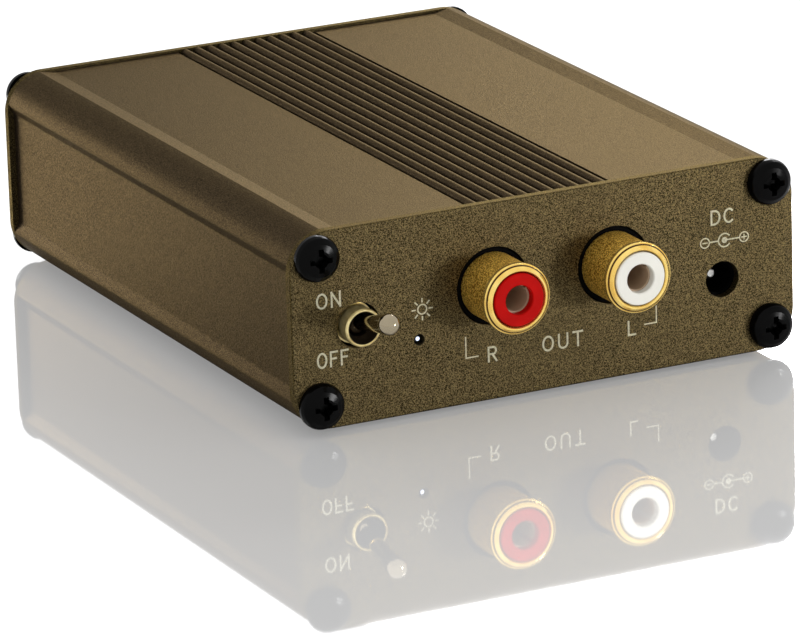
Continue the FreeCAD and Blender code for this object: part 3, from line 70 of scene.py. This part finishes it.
class Recipe:
    """Builds one procedural material around a Principled shader."""

    def __init__(self, name, roughness, metallic=0.0, **extra):
        """The extra values are for the shader's own sockets, with an underscore for each space."""
        self.material = bpy.data.materials.new(name)
        self.material.use_nodes = True
        tree = self.material.node_tree
        self.new = tree.nodes.new
        self.join = tree.links.new
        self.shader = tree.nodes["Principled BSDF"]
        self.shader.inputs["Roughness"].default_value = roughness
        self.shader.inputs["Metallic"].default_value = metallic
        for socket, value in extra.items():
            self.shader.inputs[socket.replace("_", " ")].default_value = value
        self.place = self.new("ShaderNodeTexCoord").outputs["Object"]

    def feed(self, socket, value):
        """Gives a socket a constant, or joins another node's output to it."""
        if isinstance(value, (tuple, float, int)):
            socket.default_value = value
        else:
            self.join(value, socket)

    def noise(self, size, detail=2.0, roughness=0.5):
        """Noise with features about this large."""
        node = self.new("ShaderNodeTexNoise")
        node.inputs["Scale"].default_value = 1 / (size * MM)
        node.inputs["Detail"].default_value = detail
        node.inputs["Roughness"].default_value = roughness
        self.join(self.place, node.inputs["Vector"])
        return node.outputs["Fac"]

    def ranged(self, value, low=0.0, high=1.0, start=0.3, end=0.7):
        """Goes from low to high while the value goes from start to end, and stays there outside them."""
        node = self.new("ShaderNodeMapRange")
        for socket, number in (("From Min", start), ("From Max", end), ("To Min", low), ("To Max", high)):
            node.inputs[socket].default_value = number
        self.join(value, node.inputs["Value"])
        return node.outputs["Result"]

    def mixed(self, factor, first, second):
        """The first colour at factor 0 and the second at factor 1."""
        node = self.new("ShaderNodeMix")
        node.data_type = "RGBA"
        # The node's sockets for colours are its inputs 6 and 7 and its output 2
        for number, value in ((0, factor), (6, first), (7, second)):
            self.feed(node.inputs[number], value)
        return node.outputs[2]

    def math(self, operation, first, second=0.0):
        node = self.new("ShaderNodeMath")
        node.operation = operation
        self.feed(node.inputs[0], first)
        self.feed(node.inputs[1], second)
        return node.outputs[0]

    def coordinate(self, axis):
        """Where the shaded point is along X, Y or Z."""
        parts = self.new("ShaderNodeSeparateXYZ")
        self.join(self.place, parts.inputs["Vector"])
        return self.math("DIVIDE", parts.outputs[axis], MM)

    def from_axis(self, x, z):
        """Distance from an axis along Y."""
        across = self.math("SUBTRACT", self.coordinate("X"), x)
        upward = self.math("SUBTRACT", self.coordinate("Z"), z)
        across_squared = self.math("MULTIPLY", across, across)
        upward_squared = self.math("MULTIPLY", upward, upward)
        return self.math("SQRT", self.math("ADD", across_squared, upward_squared))

    def from_middle(self):
        """Distance along Y from the middle of the case, to the front or the rear."""
        return self.math("ABSOLUTE", self.coordinate("Y"))

    def colour(self, value):
        self.join(value, self.shader.inputs["Base Color"])

    def rough(self, value):
        self.join(value, self.shader.inputs["Roughness"])

    def bump(self, height, distance, strength):
        node = self.new("ShaderNodeBump")
        node.inputs["Distance"].default_value = distance * MM
        node.inputs["Strength"].default_value = strength
        self.join(height, node.inputs["Height"])
        self.join(node.outputs["Normal"], self.shader.inputs["Normal"])


def anodised(name, dark, light, roughness, grain):
    """Blasted and anodised aluminium: a fine grain of light and dark specks over broad soft clouds."""
    # Keeps the metal's edge, seen at a low angle, from going white
    edge_tint = (0.5, 0.46, 0.39, 1.0)
    recipe = Recipe(name, roughness, metallic=0.9, Specular_Tint=edge_tint)
    specks = recipe.noise(grain, roughness=0.7)
    clouds = recipe.noise(14, detail=3.0)
    tone = recipe.mixed(recipe.ranged(specks, start=0.4, end=0.62), dark, light)
    soft = recipe.mixed(0.5, dark, light)
    recipe.colour(recipe.mixed(recipe.ranged(clouds, low=0.0, high=0.2), tone, soft))
    recipe.rough(recipe.ranged(specks, low=roughness + 0.06, high=roughness - 0.06))
    recipe.bump(recipe.noise(grain, detail=1.0), distance=0.04, strength=0.7)
    return recipe.material


def metal(name, colour, roughness):
    """Plated metal with faint clouds, and smudges in its gloss."""
    recipe = Recipe(name, roughness, metallic=1.0)
    clouds = recipe.noise(2, detail=3.0)
    smudges = recipe.noise(0.9, detail=4.0)
    recipe.colour(recipe.mixed(recipe.ranged(clouds), colour, darker(colour, share=0.12)))
    recipe.rough(recipe.ranged(smudges, low=0.75 * roughness, high=1.35 * roughness))
    recipe.bump(recipe.noise(0.2), distance=0.004, strength=0.5)
    return recipe.material


def plastic(name, colour, roughness, coat=0.0, variation=0.15, grain=0.3, specular=0.5):
    """Plastic, or a coat that doesn't shine like metal: slightly mottled, with a fine moulded texture."""
    recipe = Recipe(name, roughness, Coat_Weight=coat, Coat_Roughness=0.05, Specular_IOR_Level=specular)
    mottle = recipe.noise(3, detail=3.0)
    gloss = recipe.noise(0.6, detail=3.0)
    recipe.colour(recipe.mixed(recipe.ranged(mottle), colour, darker(colour, variation)))
    recipe.rough(recipe.ranged(gloss, low=0.8 * roughness, high=1.25 * roughness))
    recipe.bump(recipe.noise(grain), distance=0.006, strength=0.4)
    return recipe.material


def printed_ink():
    """Screen-printed ink: pale, slightly uneven, with worn specks."""
    recipe = Recipe("printed_ink", roughness=0.6)
    fine = recipe.noise(0.22)
    worn = recipe.ranged(fine, start=0.35, end=0.7)
    recipe.colour(recipe.mixed(worn, linear(190, 186, 160), linear(150, 146, 120)))
    recipe.bump(fine, distance=0.01, strength=0.4)
    return recipe.material


def lamp_glow():
    """A lamp nose that glows in its middle, with painted shade around it: near black and unlit outside the
    glow.
    """
    glow_radius = 0.22
    painted_shade_radius = 0.3
    x, _, z = middle("lamp_lens")
    recipe = Recipe("lamp_glow", roughness=0.3, Specular_IOR_Level=0.1, Emission_Strength=1.0)
    clouds = recipe.ranged(recipe.noise(0.4))
    glow = recipe.mixed(clouds, linear(210, 224, 255), linear(240, 246, 255))
    # Painted shade: outside the glow the nose is coloured near black and gives no light, standing in for the
    # shade inside the lamp's hole
    painted_shade_rim = recipe.ranged(recipe.from_axis(x, z), start=glow_radius, end=painted_shade_radius)
    recipe.colour(recipe.mixed(painted_shade_rim, glow, linear(16, 15, 22)))
    light = recipe.mixed(painted_shade_rim, linear(224, 234, 255), linear(0, 0, 0))
    recipe.join(light, recipe.shader.inputs["Emission Color"])
    return recipe.material


def gilt_socket():
    """Gilt shell: a satin barrel with bright specks, and a polished bead with painted shade, a dark band, at
    the groove by its mouth.
    """
    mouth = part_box("input_red_shell")[1].y / MM
    bead_start = mouth - 1.45
    bead_full = mouth - 1.25
    groove_place = mouth - 0.37
    groove_half = 0.06
    groove_edge = 0.1
    recipe = Recipe("gilt_shell", roughness=0.3, metallic=0.8)
    specks = recipe.noise(0.2, detail=1.0)
    clouds = recipe.ranged(recipe.noise(2))
    bright = recipe.ranged(specks, start=0.38, end=0.62)
    barrel = recipe.mixed(bright, linear(142, 92, 14), linear(255, 214, 100))
    bead = recipe.mixed(clouds, linear(255, 224, 132), linear(236, 190, 90))
    depth = recipe.from_middle()
    polished = recipe.ranged(depth, start=bead_start, end=bead_full)
    # Painted shade: a narrow band at the groove is coloured dark brown, standing in for the shade that falls
    # in it
    from_groove = recipe.math("ABSOLUTE", recipe.math("SUBTRACT", depth, groove_place))
    clear_of_groove_shade = recipe.ranged(from_groove, start=groove_half, end=groove_edge)
    recipe.colour(recipe.mixed(clear_of_groove_shade, linear(70, 44, 8), recipe.mixed(polished, barrel, bead)))
    recipe.rough(recipe.ranged(polished, low=0.55, high=0.12, start=0.0, end=1.0))
    recipe.bump(specks, distance=0.03, strength=0.5)
    return recipe.material


def bushing_plate():
    """Plated bushing with a bright rim; its throat is coloured near black."""
    throat_radius = 2.06
    throat_edge = 0.03
    x, _, z = middle("toggle_bushing")
    recipe = Recipe("bushing_plated", roughness=0.3, metallic=0.8)
    wear = recipe.ranged(recipe.noise(0.6, detail=3.0))
    plated = recipe.mixed(wear, linear(246, 230, 172), linear(214, 190, 124))
    outside = recipe.ranged(recipe.from_axis(x, z), start=throat_radius - throat_edge, end=throat_radius)
    recipe.colour(recipe.mixed(outside, linear(34, 26, 16), plated))
    recipe.rough(recipe.ranged(outside, low=0.5, high=0.34, start=0.0, end=1.0))
    recipe.bump(recipe.noise(0.3), distance=0.006, strength=0.5)
    return recipe.material


MATERIALS = {
    "case_metal": anodised("case_anodised", linear(29, 24, 18), linear(81, 69, 54), 0.43, grain=0.16),
    "panel_metal": anodised("panel_anodised", linear(5, 4, 2), linear(105, 91, 59), 0.48, grain=0.14),
    "black_screw": plastic("blackened_steel", linear(3, 3, 3), 0.18, grain=0.5, specular=0.06),
    "gilt_metal": gilt_socket(),
    "contact_gilt": plastic("contact_gilt", linear(184, 158, 130), 0.35, variation=0.1, specular=0.8),
    "insert_red": plastic("red_insert", linear(188, 8, 4), 0.45, variation=0.2, specular=0.06),
    "insert_white": plastic("white_insert", linear(236, 234, 224), 0.4, variation=0.06, specular=0.3),
    "black_plastic": plastic("black_moulded", linear(4, 4, 4), 0.6, specular=0.03),
    "bushing_metal": bushing_plate(),
    "lever_metal": metal("lever_plated", linear(168, 156, 132), 0.1),
    "contact_metal": metal("tinned_contact", linear(190, 190, 186), 0.32),
    "lamp_lens": lamp_glow(),
    "foot_rubber": plastic("foot_rubber", linear(26, 26, 27), 0.75, variation=0.25),
    "wire_sleeve": plastic("wire_sleeve", linear(40, 110, 48), 0.45),
    "chip_plastic": plastic("chip_moulded", linear(30, 30, 32), 0.6),
    "can_sleeve": plastic("can_sleeve", linear(34, 38, 58), 0.3, coat=0.3),
    "film_case": plastic("film_case", linear(176, 60, 44), 0.35),
    "resistor_coat": plastic("resistor_coat", linear(110, 160, 190), 0.4),
    "board_laminate": plastic("board_mask", linear(24, 92, 48), 0.35, coat=0.3),
}
for part in frame["record"]["subparts"]:
    mesh = nodes[part["node"]].data
    mesh.materials.clear()
    mesh.materials.append(MATERIALS[part["material_slot"]])


def add_piece(name, corners, faces, material):
    """A new object made of these corners, in metres, and faces."""
    mesh = bpy.data.meshes.new(name)
    mesh.from_pydata(corners, [], faces)
    mesh.validate()
    mesh.materials.append(material)
    piece = bpy.data.objects.new(name, mesh)
    bpy.context.scene.collection.objects.link(piece)
    return piece


# Strokes of the printed marks. Their points are (right, up), as read by someone who faces the plate.
# A strip is a row of quads, and a mark is a list of strips

# Nearer than this, two points are one, and a bend of more than this, in radians, is a sharp corner
SAME_POINT = 1e-6
SHARP_TURN = 0.9


def heading(start, end):
    """The direction from one point to another, in radians."""
    return math.atan2(end[1] - start[1], end[0] - start[0])


def smooth_runs(points):
    """The points cut into runs, so that a sharp corner ends one run and starts the next."""
    runs = [[points[0]]]
    for here, there in zip(points, points[1:]):
        if math.dist(here, there) < SAME_POINT:
            continue
        run = runs[-1]
        if len(run) > 1:
            turn = math.remainder(heading(run[-1], there) - heading(run[-2], run[-1]), 2 * math.pi)
            if abs(turn) > SHARP_TURN:
                run = [run[-1]]
                runs.append(run)
        run.append(there)
    return runs


def ribbon(points, width):
    """A stroke along points, as strips that are mitred at bends and end square at sharp corners."""
    strips = []
    for run in smooth_runs(points):
        headings = [heading(a, b) for a, b in zip(run, run[1:])]
        closed = len(run) > 3 and math.dist(run[0], run[-1]) < SAME_POINT
        edges = []
        for index, (x, z) in enumerate(run):
            if closed:
                into, out = headings[index - 1], headings[index % len(headings)]
            else:
                into, out = headings[max(index - 1, 0)], headings[min(index, len(headings) - 1)]
            half_turn = math.remainder(out - into, 2 * math.pi) / 2
            across = into + half_turn + math.pi / 2
            reach = width / 2 / math.cos(half_turn)
            # An open run goes on by half the width at its ends
            cap = 0.0
            if not closed and index in (0, len(run) - 1):
                cap = width / 2 if index else -width / 2
            cx, cz = x + cap * math.cos(out), z + cap * math.sin(out)
            dx, dz = reach * math.cos(across), reach * math.sin(across)
            edges.append(((cx + dx, cz + dz), (cx - dx, cz - dz)))
        strips.append([[a[0], a[1], b[1], b[0]] for a, b in zip(edges, edges[1:])])
    return strips


def bow(cx, cz, rx, rz, start, end, steps=10):
    """Points along an arc about (cx, cz), from one angle to another in degrees."""
    angles = [math.radians(start + (end - start) * i / steps) for i in range(steps + 1)]
    return [(cx + rx * math.cos(a), cz + rz * math.sin(a)) for a in angles]


def ring(radius, width, steps=40, x=0.0):
    """A thin ring as one strip."""
    inner, outer = (bow(x, 0, r, r, 0, 360, steps) for r in (radius - width / 2, radius + width / 2))
    return [[[inner[i], inner[i + 1], outer[i + 1], outer[i]] for i in range(steps)]]


# Letters, each with its width and its strokes, on a grid of this height
GRID_HEIGHT = 3
LETTERS = {
    "O": (2.3, [bow(1.15, 1.5, 1.15, 1.5, 0, 360, 28)]),
    "N": (2.0, [[(0, 0), (0, 3), (2, 0), (2, 3)]]),
    "F": (1.7, [[(0, 0), (0, 3), (1.7, 3)], [(0, 1.6), (1.4, 1.6)]]),
    "R": (1.9, [
        [(0, 0), (0, 3), (1.1, 3), *bow(1.1, 2.25, 0.75, 0.75, 90, -90), (0, 1.5)],
        [(0.9, 1.5), (1.9, 0)],
    ]),
    "L": (1.6, [[(0, 3), (0, 0), (1.6, 0)]]),
    "U": (2.0, [[(0, 3), (0, 1.0), *bow(1, 1.0, 1, 1.0, 180, 360), (2, 3)]]),
    "T": (2.1, [[(0, 3), (2.1, 3)], [(1.05, 3), (1.05, 0)]]),
    "I": (0.0, [[(0, 0), (0, 3)]]),
    "D": (2.0, [[(0, 0), (0, 3), (0.7, 3), *bow(0.7, 1.5, 1.3, 1.5, 90, -90, 14), (0, 0)]]),
    "C": (2.1, [bow(1.15, 1.5, 1.15, 1.5, 48, 312, 20)]),
}

# Widths of the strokes
LETTER_STROKE = 0.24
BRACKET_STROKE = 0.16
SIGN_STROKE = 0.17
FINE_STROKE = 0.15
EARTH_STROKE = 0.2


def word(text, height=2.0, gap=0.75, wide=1.0):
    """A word with its lower left corner at the origin."""
    scale = (height - LETTER_STROKE) / GRID_HEIGHT
    strips, pen = [], LETTER_STROKE / 2
    for letter in text:
        width, strokes = LETTERS[letter]
        for line in strokes:
            run = [(pen + x * scale * wide, z * scale + LETTER_STROKE / 2) for x, z in line]
            strips += ribbon(run, LETTER_STROKE)
        pen += width * scale * wide + gap * scale + LETTER_STROKE
    return strips


def bracket(tall, foot):
    """An upright on a foot, with the corner between them at the origin; a foot below 0 runs to the left."""
    return ribbon([(0, tall), (0, 0), (foot, 0)], BRACKET_STROKE)


def lamp_symbol():
    """A ring with rays around it."""
    ring_radius = 0.6
    ray_start = 0.95
    ray_end = 1.33
    rays = 8
    strips = ring(ring_radius, SIGN_STROKE)
    for index in range(rays):
        angle = 2 * math.pi * index / rays
        ray = [(reach * math.cos(angle), reach * math.sin(angle)) for reach in (ray_start, ray_end)]
        strips += ribbon(ray, SIGN_STROKE)
    return strips


def supply_symbol():
    """Polarity sign: minus ring, cup with centre dot, plus ring."""
    end_place = 2.75
    end_radius = 0.62
    bar_half = 0.3
    lead_end = 2.1
    cup_radius = 0.85
    cup_lead = 0.95
    dot_radius = 0.22
    dot_stroke = 0.34
    dot_lead = 0.25
    strips = ribbon([(-lead_end, 0), (-cup_lead, 0)], SIGN_STROKE)
    strips += ribbon([(dot_lead, 0), (lead_end, 0)], SIGN_STROKE)
    strips += ring(dot_radius, dot_stroke, steps=16)
    strips += ribbon(bow(0, 0, cup_radius, cup_radius, start=40, end=320, steps=18), SIGN_STROKE)
    for x in (-end_place, end_place):
        strips += ring(end_radius, FINE_STROKE, steps=28, x=x)
        strips += ribbon([(x - bar_half, 0), (x + bar_half, 0)], FINE_STROKE)
    strips += ribbon([(end_place, -bar_half), (end_place, bar_half)], FINE_STROKE)
    return strips


def earth_symbol():
    """A stem over three bars, each shorter than the last."""
    stem = 1.3
    bar_halves = (1.1, 0.7, 0.3)
    bar_spacing = 0.5
    strips = ribbon([(0, stem), (0, 0)], EARTH_STROKE)
    for index, half in enumerate(bar_halves):
        z = -bar_spacing * index
        strips += ribbon([(-half, z), (half, z)], EARTH_STROKE)
    return strips


# Printed marks on the plates

INK = printed_ink()
INK_DEPTH = 0.02

# Strips that cross differ in height by this step, and the fifth is as low as the first
INK_STEP = 0.003
INK_LEVELS = 4

# How far the outer faces of both plates are from the middle of the case
PLATE_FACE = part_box("rear_panel")[1].y / MM


def print_mark(name, strips, beside, right, above):
    """Prints a mark as thin raised ink on the plate at a node's end of the case, with the mark's origin
    that far to the right of the node's middle and above it."""
    x, y, z = middle(beside)
    side = 1 if y < 0 else -1
    corners, faces = [], []
    for number, strip in enumerate(strips):
        height = INK_DEPTH + INK_STEP * (number % INK_LEVELS)
        for quad in strip:
            turn = sum(a[0] * b[1] - b[0] * a[1] for a, b in zip(quad, quad[1:] + quad[:1]))
            if turn < 0:
                quad = quad[::-1]
            first = len(corners)
            for lift in (0.0, height):
                for px, pz in quad:
                    corner = (x + side * (right + px), -side * (PLATE_FACE + lift), z + above + pz)
                    corners.append([MM * value for value in corner])
            faces.append([first + 4 + i for i in range(4)])
            for i in range(4):
                j = (i + 1) % 4
                faces.append([first + i, first + j, first + 4 + j, first + 4 + i])
    piece = add_piece(name, corners, faces, INK)
    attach(piece, "case")


print_mark("mark_on", word("ON", wide=0.95), "toggle_bushing", right=-5.55, above=2.75)
print_mark("mark_off", word("OFF", gap=0.6, wide=0.85), "toggle_bushing", right=-5.7, above=-4.7)
print_mark("mark_lamp", lamp_symbol(), "lamp_lens", right=0.5, above=3.8)
print_mark("mark_right", word("R", wide=0.95), "output_red_body", right=-1.0, above=-8.85)
print_mark("mark_left", word("L", height=1.95), "output_white_body", right=1.75, above=-8.7)
print_mark("mark_out", word("OUT", gap=1.0), "front_panel", right=-0.8, above=-7.6)
print_mark("mark_bracket_right", bracket(2.64, 1.62), "output_red_body", right=-3.95, above=-7.8)
print_mark("mark_bracket_left", bracket(2.07, -1.62), "output_white_body", right=5.76, above=-7.54)
print_mark("mark_supply", word("DC", height=1.95), "dc_inlet_body", right=-1.5, above=7.0)
print_mark("mark_polarity", supply_symbol(), "dc_inlet_body", right=0.4, above=4.9)
print_mark("mark_rear_in", word("IN", gap=1.0), "rear_panel", right=-1.1, above=-7.6)
print_mark("mark_rear_right", word("R"), "input_red_body", right=-0.9, above=-8.85)
print_mark("mark_rear_left", word("L"), "input_white_body", right=-0.8, above=-8.85)
print_mark("mark_rear_earth", earth_symbol(), "ground_stud", right=0.0, above=-6.9)
print_mark("mark_rear_bracket_a", bracket(2.6, 1.65), "input_red_body", right=-3.95, above=-7.8)
print_mark("mark_rear_bracket_b", bracket(2.6, -1.6), "input_white_body", right=3.9, above=-7.8)

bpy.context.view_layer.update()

# Floor, light and camera


def floor():
    """A pale mirror under the feet, whose reflection the camera sees a little hazed."""
    half = 3000 * MM
    level = -0.02 * MM
    haze = 0.24
    recipe = Recipe("pale_floor", roughness=0.03, metallic=0.6, Emission_Color=(1, 1, 1, 1))
    clouds = recipe.ranged(recipe.noise(200))
    recipe.colour(recipe.mixed(clouds, (0.93, 0.93, 0.93, 1), (0.95, 0.95, 0.95, 1)))
    seen = recipe.new("ShaderNodeLightPath").outputs["Is Camera Ray"]
    recipe.join(recipe.math("MULTIPLY", seen, haze), recipe.shader.inputs["Emission Strength"])
    corners = [(-half, -half, level), (half, -half, level), (half, half, level), (-half, half, level)]
    piece = add_piece("floor", corners, [(0, 1, 2, 3)], recipe.material)
    return piece


def lamp(name, place, aim, energy, size):
    """An area lamp that faces a point and isn't seen itself."""
    data = bpy.data.lights.new(name, "AREA")
    data.energy = energy
    data.shape = "RECTANGLE"
    data.size, data.size_y = (side * MM for side in size)
    item = bpy.data.objects.new(name, data)
    item.location = Vector(place) * MM
    item.rotation_euler = (Vector(aim) - Vector(place)).to_track_quat("-Z", "Y").to_euler()
    item.visible_camera = False
    bpy.context.scene.collection.objects.link(item)
    return item


def studio_world():
    """Plain white to the camera, in reflections and through glass, and dimmer as a light on surfaces."""
    dim_level = 0.8
    world = bpy.data.worlds.new("studio")
    world.use_nodes = True
    tree = world.node_tree
    path = tree.nodes.new("ShaderNodeLightPath")
    seen = path.outputs["Is Camera Ray"]
    for ray in ("Is Glossy Ray", "Is Transmission Ray"):
        either = tree.nodes.new("ShaderNodeMath")
        either.operation = "MAXIMUM"
        tree.links.new(seen, either.inputs[0])
        tree.links.new(path.outputs[ray], either.inputs[1])
        seen = either.outputs[0]
    level = tree.nodes.new("ShaderNodeMapRange")
    level.inputs["To Min"].default_value = dim_level
    level.inputs["To Max"].default_value = 1.0
    tree.links.new(seen, level.inputs["Value"])
    background = tree.nodes["Background"]
    background.inputs["Color"].default_value = (1, 1, 1, 1)
    tree.links.new(level.outputs["Result"], background.inputs["Strength"])
    return world


def picture_camera():
    """The photograph's camera, fitted to the edges of the case that it shows."""
    place = Vector((-364.189, -757.246, 259.641)) * MM
    aim = Vector((0.543, -0.869, -1.757)) * MM
    roll = math.radians(-1.786)
    data = bpy.data.cameras.new("camera")
    data.sensor_width = 36.0
    data.lens = 308.77
    data.clip_start = 10 * MM
    item = bpy.data.objects.new("camera", data)
    facing = (place - aim).to_track_quat("Z", "Y").to_matrix() @ Matrix.Rotation(roll, 3, "Z")
    item.matrix_world = Matrix.Translation(place) @ facing.to_4x4()
    bpy.context.scene.collection.objects.link(item)
    return item


ground = floor()
lamp("back_right", place=(350, 420, 300), aim=(30, 20, 20), energy=2.5, size=(300, 300))
lamp("front_right", place=(520, -760, 40), aim=(0, -40, 15), energy=2.2, size=(180, 70))

# A small lamp beside the left side brightens it towards the rear. It lights the case and the floor
# alone, so that the gilt pieces at the rear don't glare
side_lamp = lamp("left_rear", place=(-84, 143, 24), aim=(-34.5, 40, 10), energy=0.055, size=(50, 40))
lit = bpy.data.collections.new("lit_by_left_rear")
for receiver in (nodes["enclosure"], ground):
    lit.objects.link(receiver)
side_lamp.light_linking.receiver_collection = lit

bpy.context.scene.world = studio_world()
bpy.context.scene.camera = picture_camera()
bpy.context.scene.view_settings.view_transform = "Standard"
